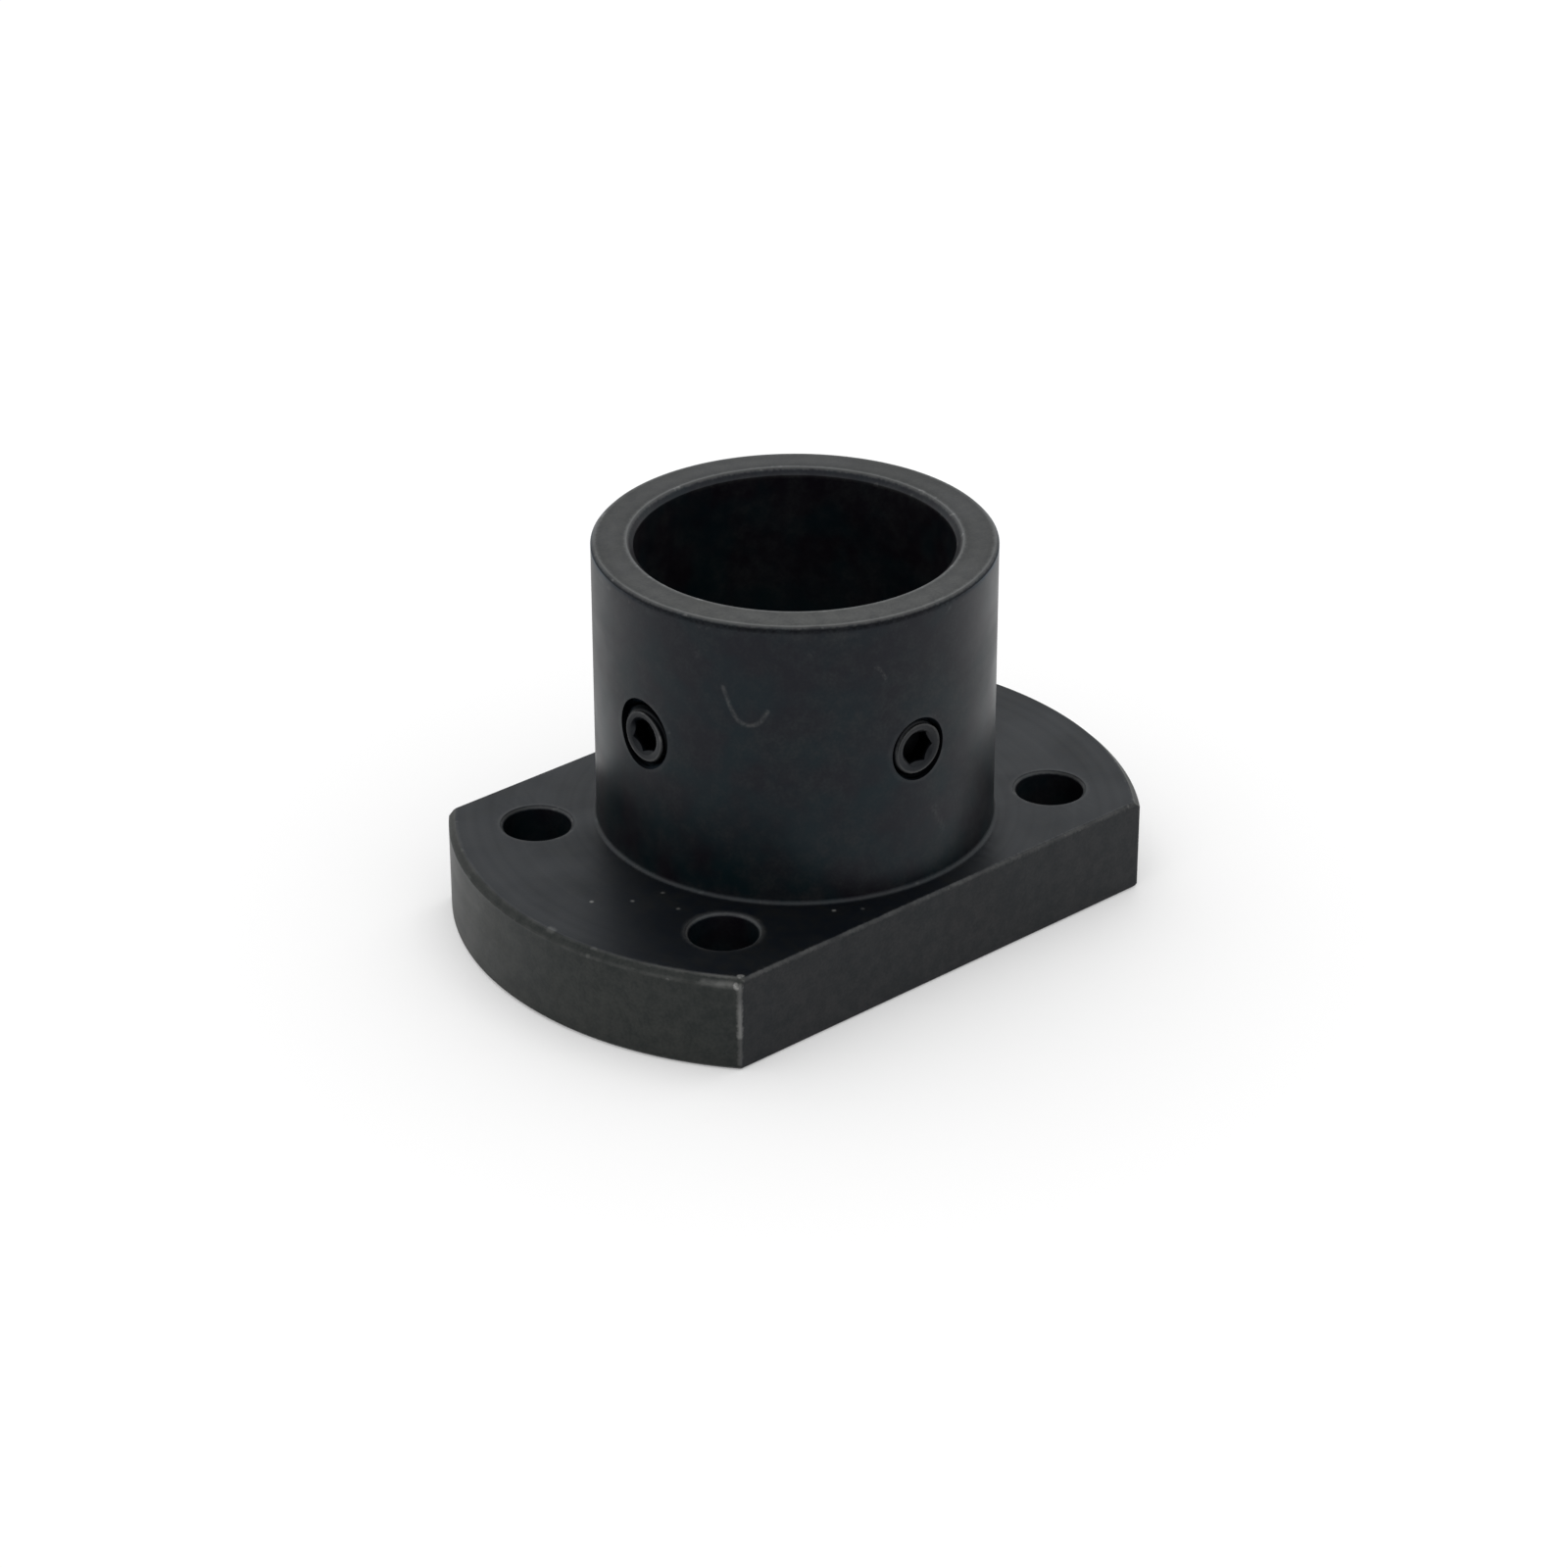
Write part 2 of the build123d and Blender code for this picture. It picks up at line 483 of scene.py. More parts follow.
# %% Build the screws and the cutters for their holes
FACE_BEVEL = 0.4 * MM
TIP_BEVEL = 0.5 * MM
KEY_FLATS = 2.5 * MM
SOCKET_DEPTH = 1.6 * MM
LEAD_IN = 0.1 * MM  # the socket's cone is this much wider than its corners
SOCKET_LIP = 0.03 * MM  # width of the rounding at the cone's mouth
DRILL_SLOPE = math.tan(math.radians(60))
DRILL_TIP = 0.02 * MM
CUTTER_REACH = 1.5 * MM  # past the sleeve's wall, inside and out
WELD = 0.0005 * MM  # vertices nearer than this are one
SLIVER = 0.0002 * MM  # edges shorter than this are closed up

screws = {
    "set_screw_left": {
        "joint": "left_screw_travel",
        "socket_turn": -8.0,  # degrees past a corner pointing up
        "sink": 0.45 * MM,  # radial, how much the hole's mouth was opened
        "rise": 0.25 * MM,  # of that mouth above the hole's axis
    },
    "set_screw_right": {
        "joint": "right_screw_travel",
        "socket_turn": -32.0,
        "sink": 0.15 * MM,
        "rise": 0.0,
    },
}
joints = {joint["name"]: joint for joint in frame["joints"]}


def screw_frame(joint_name):
    """Which way a screw turns out, and the function that places a point of it.

    The point is given by its radius and turn round the screw, and its reach from the bore's axis.
    """
    outward = Vector(joints[joint_name]["axis"]).normalized()
    aside = Vector((0, 0, 1)).cross(outward)

    def place(radius, turn, reach):
        flat = aside * radius * math.cos(turn) + Vector((0, 0, screw_z + radius * math.sin(turn)))
        return flat + outward * reach

    return outward, place


def hexagon_radius(turn, first_corner):
    """Distance from the middle of the key's hexagon to its side."""
    from_corner = (turn - first_corner) % (math.pi / 3)
    return KEY_FLATS / 2 / math.cos(from_corner - math.pi / 6)


def closed_mesh(bm, name):
    """Joins what touches, turns every face outwards and makes an object of it."""
    bmesh.ops.remove_doubles(bm, verts=bm.verts, dist=WELD)
    bmesh.ops.dissolve_degenerate(bm, edges=bm.edges, dist=SLIVER)
    bmesh.ops.recalc_face_normals(bm, faces=bm.faces)
    open_edges = sum(not edge.is_manifold for edge in bm.edges)
    mesh = bpy.data.meshes.new(name)
    bm.to_mesh(mesh)
    bm.free()
    made = bpy.data.objects.new(name, mesh)
    bpy.context.scene.collection.objects.link(made)
    print(f"{name}: {len(mesh.polygons)} faces, {open_edges} open edges")
    return made


def build_screw(name, joint, socket_turn):
    outward, place = screw_frame(joint)
    reaches = [vertex.co.dot(outward) for vertex in frame["nodes"][name].data.vertices]
    tip, face = min(reaches), max(reaches)
    first_corner = math.radians(90 + socket_turn)
    turns = [first_corner + 2 * math.pi * j / THREAD_STEPS for j in range(THREAD_STEPS)]
    lead_in_r = KEY_FLATS / math.sqrt(3) + LEAD_IN
    floor = face - SOCKET_DEPTH

    def radius(along, turn):
        return min(
            thread_radius(along, turn, screw_r, screw_r - thread_depth),
            screw_r - FACE_BEVEL + face - along,
            screw_r - TIP_BEVEL + along - tip,
        )

    def hexagon(turn):
        return hexagon_radius(turn, first_corner)

    def turned_ring(radius_of, reach_of):
        return ring(bm, [place(radius_of(t), t, reach_of(t)) for t in turns])

    bm = bmesh.new()
    helix_skin(bm, place, radius, tip, face, first_corner)
    bm.faces.new(turned_ring(lambda t: radius(tip, t), lambda t: tip))
    inner = [
        turned_ring(lambda t: radius(face, t), lambda t: face),
        turned_ring(lambda t: lead_in_r + SOCKET_LIP, lambda t: face),
        turned_ring(lambda t: lead_in_r - SOCKET_LIP / 3, lambda t: face - 2 * SOCKET_LIP / 3),
        turned_ring(hexagon, lambda t: face - (lead_in_r - hexagon(t))),
        turned_ring(hexagon, lambda t: floor),
        turned_ring(lambda t: KEY_FLATS / 2 - SOCKET_LIP / 3, lambda t: floor),
        turned_ring(lambda t: DRILL_TIP, lambda t: floor - KEY_FLATS / 2 / DRILL_SLOPE),
    ]
    skin(bm, inner)
    bm.faces.new(inner[-1])
    return closed_mesh(bm, "dressed_" + name)


def build_cutter(name, joint, sink, rise):
    """What the drill, the tap and the countersink took out of the sleeve's wall."""
    _, place = screw_frame(joint)
    low, high = bore_r - CUTTER_REACH, sleeve_r + CUTTER_REACH

    def radius(along, turn):
        cone = hole_r + sink + along - sleeve_r
        across = max(0, cone**2 - (rise * math.cos(turn)) ** 2)
        reach = rise * math.sin(turn) + math.sqrt(across) if cone > 0 else 0
        return max(thread_radius(along, turn, hole_r, hole_r - thread_depth), reach)

    bm = bmesh.new()
    helix_skin(bm, place, radius, low, high)
    for end in (low, high):
        turns = [2 * math.pi * j / THREAD_STEPS for j in range(THREAD_STEPS)]
        bm.faces.new(ring(bm, [place(radius(end, t), t, end) for t in turns]))
    return closed_mesh(bm, "cutter_" + name)


screw_objects = {}
for name, values in screws.items():
    screw_objects[name] = build_screw(name, values["joint"], values["socket_turn"])
cutters = []
for name, values in screws.items():
    cutters.append(build_cutter(name, values["joint"], values["sink"], values["rise"]))

# %% [markdown]
# ## Tapped holes
# The tap goes through the sleeve's wall, and its thread leaves a ragged line where it meets the
# bore. A boolean makes exactly that. It is applied at once, and the cutters are thrown away.

# %% Cut the tapped holes
for cutter in cutters:
    modifier = body.modifiers.new("tap", "BOOLEAN")
    modifier.operation = "DIFFERENCE"
    modifier.solver = "EXACT"
    modifier.object = cutter
evaluated = body.evaluated_get(bpy.context.evaluated_depsgraph_get())
cut_mesh = bpy.data.meshes.new_from_object(evaluated)
body.modifiers.clear()
body.data = cut_mesh
for cutter in cutters:
    bpy.data.objects.remove(cutter)
check = bmesh.new()
check.from_mesh(cut_mesh)
open_edges = sum(not edge.is_manifold for edge in check.edges)
print("cut body:", len(check.faces), "faces,", open_edges, "open edges")
check.free()

# %% [markdown]
# ## Smooth light on crisp forms
# Each face now takes its shading from the normals at its corners. Edges that turn by more than a
# set angle stay sharp, and the rest are smooth. Large faces have the say where they meet narrow
# ones, so a flat face stays flat right up to its rounded edge.

# %% Shade the pieces
SHARP_ANGLE = math.radians(32)


def shade(piece):
    for polygon in piece.data.polygons:
        polygon.use_smooth = True
    piece.data.set_sharp_from_angle(angle=SHARP_ANGLE)
    weighted = piece.modifiers.new("even_normals", "WEIGHTED_NORMAL")
    weighted.mode = "FACE_AREA"
    weighted.weight = 50
    weighted.keep_sharp = True


shade(body)
for screw in screw_objects.values():
    shade(screw)
print("shaded", 1 + len(screw_objects), "pieces")

# %% [markdown]
# ## Sums in a node tree
# A finish here is worked out from where a point lies on the object: how far from an edge, how high,
# how far from the bore. That takes many small sums, and each sum is a node. These helpers make one
# node each, so that a formula reads almost like plain code, and the look follows the real edges
# with no painted picture at all.

# %% Helpers for shader nodes
NUMBERS = ("LENGTH", "DISTANCE", "DOT_PRODUCT")  # these turn vectors into a number


def vector_calc(tree, operation, *values):
    """One Vector Math node: its vector, or its value where it gives one."""
    made = put(tree, "VectorMath", enumerate(values), operation=operation)
    return made.outputs["Value" if operation in NUMBERS else "Vector"]


def scaled(tree, vector, factor):
    return put(tree, "VectorMath", {0: vector, 3: factor}, operation="SCALE").outputs[0]


def ramp(tree, value, low, high):
    """0 at low, 1 at high, and smooth between. Low may be the larger of the two."""
    sockets = {0: value, 1: low, 2: high}
    return put(tree, "MapRange", sockets, interpolation_type="SMOOTHSTEP").outputs[0]


def split(tree, vector):
    return put(tree, "SeparateXYZ", {0: vector}).outputs


def join(tree, x, y, z):
    return put(tree, "CombineXYZ", {0: x, 1: y, 2: z}).outputs[0]


def chain(tree, operation, values):
    """One sum over many values, a node for each pair."""
    total = values[0]
    for value in values[1:]:
        total = calc(tree, operation, total, value)
    return total


def product(tree, *values):
    return chain(tree, "MULTIPLY", values)


def highest(tree, *values):
    return chain(tree, "MAXIMUM", values)


def lowest(tree, *values):
    return chain(tree, "MINIMUM", values)


def inverse(tree, value):
    return calc(tree, "SUBTRACT", 1.0, value)


def mix(tree, factor, one, two):
    """A number between two others."""
    return put(tree, "Mix", {0: factor, 2: one, 3: two}).outputs[0]


def mix_colour(tree, factor, one, two):
    return put(tree, "Mix", {0: factor, 6: one, 7: two}, data_type="RGBA").outputs[2]


def noise(tree, vector, size, detail=2.0):
    """Soft noise about 0.5, with blobs about this size across, in metres."""
    sockets = {"Vector": vector, "Scale": 1 / size, "Detail": detail}
    return put(tree, "TexNoise", sockets).outputs[0]


def new_group(name, inputs, outputs):
    """An empty node group, the outputs of its input node and the inputs of its output node."""
    group = bpy.data.node_groups.new(name, "ShaderNodeTree")
    for way, sockets in (("INPUT", inputs), ("OUTPUT", outputs)):
        for label, kind in sockets.items():
            group.interface.new_socket(label, in_out=way, socket_type="NodeSocket" + kind)
    given = group.nodes.new("NodeGroupInput").outputs
    return group, given, group.nodes.new("NodeGroupOutput").inputs


def use(tree, group, **sockets):
    """Places a node group. Underscores in a socket's name stand for spaces."""
    named = {label.replace("_", " "): value for label, value in sockets.items()}
    return put(tree, "Group", named, node_tree=group).outputs


# %% [markdown]
# ## Distance to a line
# Straight edges and scratches are all lines. This group gives the distance from where the light
# falls to a straight line between two points, and the wear and the scratches are drawn with it.

# %% Line Distance group
def line_distance_group():
    inputs = {"Vector": "Vector", "From": "Vector", "To": "Vector"}
    group, given, result = new_group("Line Distance", inputs, {"Distance": "Float"})
    span = vector_calc(group, "SUBTRACT", given["To"], given["From"])
    start = vector_calc(group, "SUBTRACT", given["Vector"], given["From"])
    along = vector_calc(group, "DOT_PRODUCT", start, span)
    whole = vector_calc(group, "DOT_PRODUCT", span, span)
    share = put(group, "Clamp", {0: calc(group, "DIVIDE", along, whole)}).outputs[0]
    aside = vector_calc(group, "SUBTRACT", start, scaled(group, span, share))
    group.links.new(vector_calc(group, "LENGTH", aside), result["Distance"])
    return group


line_distance = line_distance_group()
print("made", line_distance.name)

# %% [markdown]
# ## Edge wear
# Black oxide is only a skin on the steel, a thousandth of a millimetre thick. Handling rubs it off
# the edges first: along most of an edge it is only thinned, so that a soft pale line follows it,
# and at knocks it is gone. The first group makes three noises, once for all the edges of a piece:
# one frays a line's border, one lets the line fade and come back, and one sets the few bright
# knocks. The second group takes them, packed in one vector, and the distance to an edge.

# %% Wear Noise and Edge Wear groups
FRAY_SIZE = 0.3 * MM
STRETCH_SIZE = 2.6 * MM
KNOCK_SIZE = 0.9 * MM
KNOCKED = (0.64, 0.74)  # noise below the first is whole, above the second is knocked
WORN = (0.75, 1.3)  # the same for the thinned line, with its bareness added
FRAY = 1.6  # how much of a line's width the noise moves
CORE = 0.3  # how much of it is always there
KNOCK_GAIN = 1.2  # a knock is this much stronger than the line


def wear_noise_group():
    group, given, result = new_group("Wear Noise", {"Vector": "Vector"}, {"Noises": "Vector"})
    ragged = noise(group, given["Vector"], FRAY_SIZE, detail=3.0)
    stretch = noise(group, given["Vector"], STRETCH_SIZE)
    knocks = ramp(group, noise(group, given["Vector"], KNOCK_SIZE, detail=1.0), *KNOCKED)
    group.links.new(join(group, ragged, stretch, knocks), result["Noises"])
    return group


def edge_wear_group():
    inputs = {"Distance": "Float", "Width": "Float", "Bareness": "Float", "Noises": "Vector"}
    group, given, result = new_group("Edge Wear", inputs, {"Mask": "Float"})
    ragged, stretch, knocks = split(group, given["Noises"])
    reach = product(group, given["Width"], calc(group, "MULTIPLY_ADD", ragged, FRAY, CORE))
    near = ramp(group, given["Distance"], reach, 0.0)
    line = ramp(group, calc(group, "ADD", stretch, given["Bareness"]), *WORN)
    mask = product(group, near, calc(group, "MULTIPLY_ADD", knocks, KNOCK_GAIN, line))
    group.links.new(mask, result["Mask"])
    return group


wear_noise = wear_noise_group()
edge_wear = edge_wear_group()
print("made", wear_noise.name, "and", edge_wear.name)

# %% [markdown]
# ## Tool marks
# A turned face carries the fine spiral of the tool, and a milled one the straight passes of the
# cutter. Both are the same pattern of uneven lines, only laid along another measure: the radius, the
# height or the length. The group takes that measure and gives a height for the bump and a slow
# shade from one pass to the next.

# %% Tool Marks group
BANDS_PER_PASS = 0.11
PATCH_SIZE = 2.5 * MM  # the marks come and go in patches


def tool_marks_group():
    inputs = {"Across": "Float", "Pitch": "Float", "Vector": "Vector"}
    group, given, result = new_group("Tool Marks", inputs, {"Height": "Float", "Shade": "Float"})
    count = calc(group, "DIVIDE", given["Across"], given["Pitch"])
    lines = put(group, "TexNoise", {"W": count, "Scale": 1.0, "Detail": 3.0}, noise_dimensions="1D")
    slow = calc(group, "MULTIPLY", count, BANDS_PER_PASS)
    bands = put(group, "TexNoise", {"W": slow, "Scale": 1.0, "Detail": 2.0}, noise_dimensions="1D")
    patch = noise(group, given["Vector"], PATCH_SIZE)
    height = product(group, calc(group, "SUBTRACT", lines.outputs[0], 0.5), patch)
    group.links.new(height, result["Height"])
    group.links.new(bands.outputs[0], result["Shade"])
    return group


tool_marks = tool_marks_group()
print("made", tool_marks.name)

# %% [markdown]
# ## Mottle
# The black comes from a hot salt bath, and it never takes quite evenly. The group gives four fields
# from 0 to 1, each with its own size: broad clouds where the skin is a little thicker or thinner, a
# drift of its tint, blotches about a millimetre wide, and a fine grain of etched specks.

# %% Mottle group
FIELD_SIZES = {"Clouds": 6 * MM, "Tint": 3.5 * MM, "Blotches": 1.1 * MM, "Grain": 0.25 * MM}
FIELD_GAP = 0.1  # metres between the places that the fields are read from
FIELD_RANGE = (0.32, 0.68)  # of the noise, stretched to 0 and 1


def mottle_group():
    outputs = dict.fromkeys(FIELD_SIZES, "Float")
    group, given, result = new_group("Mottle", {"Vector": "Vector"}, outputs)
    for count, (label, size) in enumerate(FIELD_SIZES.items()):
        apart = vector_calc(group, "ADD", given["Vector"], (count * FIELD_GAP, 0, 0))
        group.links.new(ramp(group, noise(group, apart, size), *FIELD_RANGE), result[label])
    return group


mottle = mottle_group()
print("made", mottle.name)

# %% [markdown]
# ## Marks of use
# A few marks are this very part's own: a hooked scratch high on the sleeve, short scuffs and soft
# smears beside it, specks of dust on the flange, and the bruised corner in front. Marks on the
# sleeve are given as on a label soaked off it and laid flat: the angle round the bore from the
# front, in degrees, and the height. Those on the flange are plain points of it. All the lengths in
# this cell are millimetres.

# %% Places of the scratches, specks and bruises
HOOK_CENTRE = (-54.1, 24.75)
HOOK_R = 1.23
HOOK_TOP = 24.2  # the arc is only the part below this
HOOK_TAILS = [
    [(-61.3, 26.5), (-59.5, 25.05)],
    [(-59.5, 25.05), (-58.05, 24.2)],
    [(-50.3, 24.15), (-48.9, 24.8)],
]
SCUFFS = [  # fine lines
    [(-18.8, 28.1), (-17.4, 27.7)],
    [(-17.4, 27.7), (-15.7, 26.9)],
]
SMEARS = [  # broad and soft ones
    [(1.1, 14.4), (2.9, 13.0)],
    [(2.9, 13.0), (5.1, 12.0)],
]
SMUDGES = [(-69.1, 28.9), (-37.2, 29.8)]
SPECKS = [  # where on the flange, and how pale
    (-22.23, -1.24, 0.7),
    (-19.79, -3.26, 0.4),
    (-17.88, -6.56, 0.25),
    (-17.18, -3.84, 0.25),
    (-9.01, -14.77, 0.5),
    (-7.15, -16.05, 0.15),
]
BRUISES = [  # bare steel
    [(-21.55, -17.62, 7.45), (-21.45, -17.75, 7.3)],
    [(-20.98, -17.45, 8.0), (-20.9, -17.5, 7.97)],
]
RUBBED = [  # thinned oxide
    [(-23.1, -15.65, 7.5), (-21.75, -17.45, 7.5)],
    [(-27.23, -2.7, 7.98), (-27.23, -2.3, 7.98)],
]
MARK_WIDTHS = {  # how far from its line a mark ends, and how far it is at its strongest
    "hook": (0.3, 0.02),
    "scuff": (0.25, 0.03),
    "smear": (0.65, 0.0),
    "smudge": (0.6, 0.0),
    "speck": (0.26, 0.03),
    "bruise": (0.34, 0.1),
    "rubbed": (0.45, 0.0),
    # the painted shadow line under the rim:
    "under the rim": (0.35, 0.05),
}


def laid_flat(angle, z):
    """A point of the sleeve laid flat, in metres."""
    return (math.radians(angle) * sleeve_r, z * MM, 0)


def in_metres(lines):
    return [[[axis * MM for axis in point] for point in line] for line in lines]


def mark(tree, kind, distance):
    """A mark's strength, from its kind and the distance to its line or spot."""
    return ramp(tree, distance, *(width * MM for width in MARK_WIDTHS[kind]))


def nearest_line(tree, place, lines):
    """Distance to the nearest of these lines."""
    found = [use(tree, line_distance, Vector=place, From=a, To=b)["Distance"] for a, b in lines]
    return lowest(tree, *found)


def nearest_on_sleeve(tree, flat_out, lines):
    return nearest_line(tree, flat_out, [(laid_flat(*a), laid_flat(*b)) for a, b in lines])


def nearest_hook(tree, flat_out):
    """Distance to the hooked scratch: the lower part of a circle, and its straight tails."""
    from_centre = vector_calc(tree, "DISTANCE", flat_out, laid_flat(*HOOK_CENTRE))
    off_circle = calc(tree, "ABSOLUTE", calc(tree, "SUBTRACT", from_centre, HOOK_R * MM))
    above = calc(tree, "SUBTRACT", split(tree, flat_out)[1], HOOK_TOP * MM)
    arc = highest(tree, off_circle, above)
    return lowest(tree, arc, nearest_on_sleeve(tree, flat_out, HOOK_TAILS))


lines_of_marks = HOOK_TAILS + SCUFFS + SMEARS + BRUISES + RUBBED
print(len(lines_of_marks), "lines,", len(SMUDGES + SPECKS), "spots and one arc")

# %% [markdown]
# ## Where a point lies
# The finish needs to know, for each point, whether it is on a level face, a flat, a round end of
# the flange or the sleeve's wall, and how far it is from the bore's axis. The normal tells which way
# the surface faces, and the place tells the rest. Each is a soft mask, so that a rounded edge goes
# smoothly from one face's finish to the next one's.

# %% Masks of the body's faces
LEVEL_FACING = (0.75, 0.9)  # upright share of the normal where a level face starts and is whole
FLAT_FACING = (0.66, 0.7)  # the same for the share across the flats
TAPPED_FACING = (0.97, 0.85)  # the wall faces straight out or in, and a tapped hole doesn't
FLAT_INSET = (0.5 * MM, 0.2 * MM)  # how far inside its surface each finish starts and is whole
ROUND_INSET = (0.65 * MM, 0.55 * MM)
OUTSIDE_INSET = (0.4 * MM, 0.2 * MM)
WALL_FOOT = 0.6 * MM  # the wall's finish starts this far above the flange
TAPPED_REACH = (5 * MM, 4 * MM)  # above and below the screws' axes
BROKEN = (0.3, 0.7)  # the noise that breaks up marks, stretched to 0 and 1


def inside(tree, distance, surface, insets):
    """A mask that starts at one inset from a surface and is whole at the other."""
    return ramp(tree, distance, *(surface - inset for inset in insets))


def places(tree):
    """What the finish is worked out from: where a point is, and which way its surface faces."""
    source = put(tree, "TexCoord").outputs
    place, normal = source["Object"], source["Normal"]
    folded = vector_calc(tree, "ABSOLUTE", place)
    x, y, z = split(tree, place)
    far_x, far_y, _ = split(tree, folded)
    _, normal_y, normal_z = split(tree, vector_calc(tree, "ABSOLUTE", normal))
    outward = join(tree, x, y, 0.0)
    radius = vector_calc(tree, "LENGTH", outward)
    bolt_aside = [calc(tree, "SUBTRACT", far_x, bolt_x), calc(tree, "SUBTRACT", far_y, bolt_y)]
    bolt_radius = vector_calc(tree, "LENGTH", join(tree, *bolt_aside, 0.0))

    level = ramp(tree, normal_z, *LEVEL_FACING)
    upright = inverse(tree, level)
    flat = ramp(tree, normal_y, *FLAT_FACING)
    flat = product(tree, flat, inside(tree, far_y, flat_y, FLAT_INSET))
    round_end = inside(tree, radius, flange_r, ROUND_INSET)
    round_end = product(tree, round_end, upright, inverse(tree, flat))
    wall = product(tree, ramp(tree, z, flange_top, flange_top + WALL_FOOT), upright)

    turn = calc(tree, "ARCTAN2", x, calc(tree, "MULTIPLY", y, -1.0))
    across = calc(tree, "ABSOLUTE", vector_calc(tree, "DOT_PRODUCT", normal, outward))
    off_axis = calc(tree, "ABSOLUTE", calc(tree, "SUBTRACT", z, screw_z))
    tapped = ramp(tree, calc(tree, "DIVIDE", across, radius), *TAPPED_FACING)
    return {
        "place": place,
        "folded": folded,
        "x": x,
        "z": z,
        "radius": radius,
        "turned": join(tree, radius, 0.0, z),
        "bolt_turned": join(tree, bolt_radius, 0.0, z),
        "flat_out": join(tree, calc(tree, "MULTIPLY", turn, sleeve_r), z, 0.0),
        "level": level,
        "flat": flat,
        "round_end": round_end,
        "wall": wall,
        "outside": product(tree, wall, inside(tree, radius, sleeve_r, OUTSIDE_INSET)),
        # where the tapped holes are painted black as shade:
        "tapped": product(tree, ramp(tree, off_axis, *TAPPED_REACH), tapped),
        "up_sleeve": ramp(tree, z, flange_top, height),
        "wear_noises": use(tree, wear_noise, Vector=place)["Noises"],
        "broken": ramp(tree, noise(tree, place, FRAY_SIZE), *BROKEN),
    }


print("the body's faces have their masks")

# %% [markdown]
# ## Where the edges are bare
# Each edge of the body is one circle or one line, so each has its own call. A turned edge is a
# point at a radius and a height; the long edges of the flats are folded onto one corner of the
# flange. The upright corner nearest the camera has been knocked hardest.

# %% Wear of the body's edges
EDGES = {  # width in millimetres, how bare along its length, and how pale at most
    "rim": (0.3, 0.75, 0.2),
    "nicks under the rim": (0.4, 0.28, 0.04),
    "bore's mouth": (0.3, 0.85, 0.22),
    "bore": (0.3, 0.5, 0.06),
    "root": (0.22, 0.9, 0.05),
    "round end, above": (0.25, 0.6, 0.2),
    "round end": (0.25, 0.5, 0.2),
    "round foot": (0.15, 0.3, 0.05),
    "bolt hole's halo": (0.35, 0.7, 0.06),
    "bolt hole's mouth": (0.18, 0.8, 0.16),
    "flat, above": (0.35, 0.65, 0.19),
    "flat's ends": (0.2, 0.5, 0.1),
    "front corner": (0.3, 0.6, 0.2),
    "front corner, above": (0.34, 0.7, 0.46),
    "tapped hole's halo": (0.35, 0.5, 0.06),
}
NICKS_DROP = 0.9 * MM  # from the sleeve's top
FLAT_END_FOOT = 0.3 * MM  # the lowest point of the wear on the flats' ends
CORNER_FOOT = 0.6 * MM  # the same on the front corner
CORNER_HARD = 3 * MM  # from here up it is knocked hardest
KNOCKED_REACH = (14 * MM, 1 * MM)  # from the front corner, where the round end is worn more
UNKNOCKED = 0.4  # what is left of that wear further away


def worn_edges(tree, here):
    """How bare the edges are, from 0 to 1."""

    def wear(edge, distance):
        width, bareness, strength = EDGES[edge]
        sockets = {"Distance": distance, "Width": width * MM, "Bareness": bareness}
        mask = use(tree, edge_wear, **sockets, Noises=here["wear_noises"])["Mask"]
        return product(tree, mask, strength)

    def turned(edge, radius, z, where="turned"):
        return wear(edge, vector_calc(tree, "DISTANCE", here[where], (radius, 0, z)))

    def straight(edge, start, end, where="folded"):
        return wear(edge, nearest_line(tree, here[where], [(start, end)]))

    def tapped(joint, sink, rise):
        _, place = screw_frame(joint)
        ends = [place(rise, math.pi / 2, reach) for reach in (bore_r, 2 * sleeve_r)]
        from_axis = nearest_line(tree, here["place"], [ends])
        from_mouth = calc(tree, "ABSOLUTE", calc(tree, "SUBTRACT", from_axis, hole_r + sink))
        halo = wear("tapped hole's halo", from_mouth)
        return product(tree, halo, here["outside"], inverse(tree, here["tapped"]))

    corner_x = math.sqrt(flange_r**2 - flat_y**2)
    corner_top = flange_top - round_bevel
    corner = (-corner_x, -flat_y)
    flat_top = [(end * corner_x, flat_y, flange_top) for end in (-1, 1)]
    flat_end = [(corner_x, flat_y, z) for z in (FLAT_END_FOOT, corner_top)]
    away = nearest_line(tree, here["place"], [((*corner, 0), (*corner, height))])
    knocked = mix(tree, ramp(tree, away, *KNOCKED_REACH), UNKNOCKED, 1.0)
    round_end = highest(
        tree,
        turned("round end, above", flange_r - round_bevel, flange_top),
        turned("round end", flange_r, corner_top),
    )
    halfway = (bolt_r + bolt_bevel / 2, flange_top - bolt_bevel / 2)
    return highest(
        tree,
        turned("rim", sleeve_r - rim_bevel, height),
        turned("nicks under the rim", sleeve_r, height - NICKS_DROP),
        turned("bore's mouth", bore_r + bore_bevel, height),
        turned("bore", bore_r, height - bore_bevel),
        turned("root", sleeve_r + root_r / 3, flange_top + root_r / 3),
        product(tree, round_end, knocked),
        turned("round foot", flange_r, foot_bevel),
        turned("bolt hole's halo", bolt_r + bolt_bevel, flange_top, "bolt_turned"),
        turned("bolt hole's mouth", *halfway, "bolt_turned"),
        straight("flat, above", *flat_top),
        straight("flat's ends", *flat_end),
        straight("front corner", (*corner, CORNER_FOOT), (*corner, corner_top), "place"),
        straight("front corner, above", (*corner, CORNER_HARD), (*corner, corner_top), "place"),
        *(tapped(values["joint"], values["sink"], values["rise"]) for values in screws.values()),
    )


print(len(EDGES), "kinds of edge")

